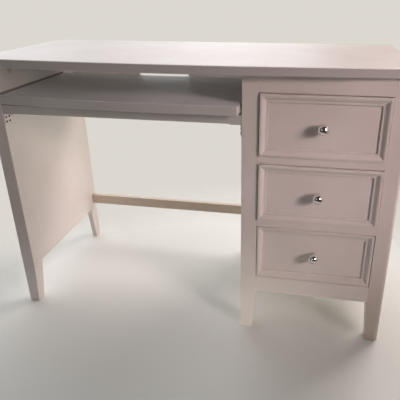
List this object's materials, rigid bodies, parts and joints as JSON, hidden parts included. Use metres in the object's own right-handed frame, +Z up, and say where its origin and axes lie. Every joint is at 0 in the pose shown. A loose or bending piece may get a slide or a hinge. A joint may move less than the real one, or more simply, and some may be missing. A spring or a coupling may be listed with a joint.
{
  "type": "single-pedestal writing desk",
  "caption": "White painted desk with a bow-fronted top, a pull-out keyboard tray on ball slides over the kneehole, and a pedestal of panelled drawers with ball knobs.",
  "frame": {"origin": "on the floor, under the middle of the desk's outer box", "axes": "+X along the desk towards the drawers, +Y from the sitter to the wall, +Z up"},
  "size_m": [1.094, 0.4499, 0.76],
  "materials": {
    "white_paint": "satin white paint over wood board, lightly worn",
    "drawer_pine": "bare planed pine",
    "hardboard": "pale-faced thin fibreboard",
    "polished_chrome": "polished chrome plate",
    "zinc_steel": "bright zinc plate",
    "slide_steel": "zinc-plated rolled steel"
  },
  "bodies": {
    "desk": {"bottom_front_rail": "white_paint", "bracket_screws": "zinc_steel", "cam_bolts": "zinc_steel", "cam_locks": "zinc_steel", "desk_top": "white_paint", "drawer_1_left_runner": "drawer_pine", "drawer_1_right_runner": "drawer_pine", "drawer_2_left_runner": "drawer_pine", "drawer_2_right_runner": "drawer_pine", "drawer_3_left_runner": "drawer_pine", "drawer_3_right_runner": "drawer_pine", "drawer_stops": "drawer_pine", "frieze_rail": "white_paint", "left_end_panel": "white_paint", "left_front_leg": "white_paint", "left_kicker": "drawer_pine", "left_rail_bracket": "zinc_steel", "lower_drawer_rail": "white_paint", "pedestal_back_board": "hardboard", "pedestal_left_front_leg": "white_paint", "pedestal_left_panel": "white_paint", "pedestal_right_front_leg": "white_paint", "pedestal_right_panel": "white_paint", "rear_stretcher": "white_paint", "right_kicker": "drawer_pine", "right_rail_bracket": "zinc_steel", "tray_back_rail": "white_paint", "tray_front_rail": "white_paint", "tray_left_outer_slide": "slide_steel", "tray_right_outer_slide": "slide_steel", "upper_drawer_rail": "white_paint"},
    "keyboard_tray": {"keyboard_tray": "white_paint", "tray_left_inner_slide": "slide_steel", "tray_right_inner_slide": "slide_steel"},
    "ball_cages": {"tray_ball_cages": "slide_steel", "tray_slide_balls": "slide_steel"},
    "drawer_1": {"drawer_1_front": "white_paint", "drawer_1_left_side": "drawer_pine", "drawer_1_right_side": "drawer_pine", "drawer_1_back": "drawer_pine", "drawer_1_bottom": "hardboard", "drawer_1_knob": "polished_chrome", "drawer_1_knob_screw": "zinc_steel"},
    "drawer_2": {"drawer_2_front": "white_paint", "drawer_2_left_side": "drawer_pine", "drawer_2_right_side": "drawer_pine", "drawer_2_back": "drawer_pine", "drawer_2_bottom": "hardboard", "drawer_2_knob": "polished_chrome", "drawer_2_knob_screw": "zinc_steel"},
    "drawer_3": {"drawer_3_front": "white_paint", "drawer_3_left_side": "drawer_pine", "drawer_3_right_side": "drawer_pine", "drawer_3_back": "drawer_pine", "drawer_3_bottom": "hardboard", "drawer_3_knob": "polished_chrome", "drawer_3_knob_screw": "zinc_steel"}
  },
  "joints": [
    {"name": "tray_slide", "type": "slide", "parent": "desk", "child": "keyboard_tray", "axis": [0, -1, 0], "range_m": [0, 0.22]},
    {"name": "cage_slide", "type": "slide", "parent": "desk", "child": "ball_cages", "axis": [0, -1, 0], "range_m": [0, 0.11]},
    {"name": "drawer_1_slide", "type": "slide", "parent": "desk", "child": "drawer_1", "axis": [0, -1, 0], "range_m": [-0.005, 0.28]},
    {"name": "drawer_2_slide", "type": "slide", "parent": "desk", "child": "drawer_2", "axis": [0, -1, 0], "range_m": [-0.005, 0.28]},
    {"name": "drawer_3_slide", "type": "slide", "parent": "desk", "child": "drawer_3", "axis": [0, -1, 0], "range_m": [0, 0.28]}
  ],
  "couplings": [
    {"joint": "cage_slide", "follows": "tray_slide", "ratio": 0.5}
  ]
}
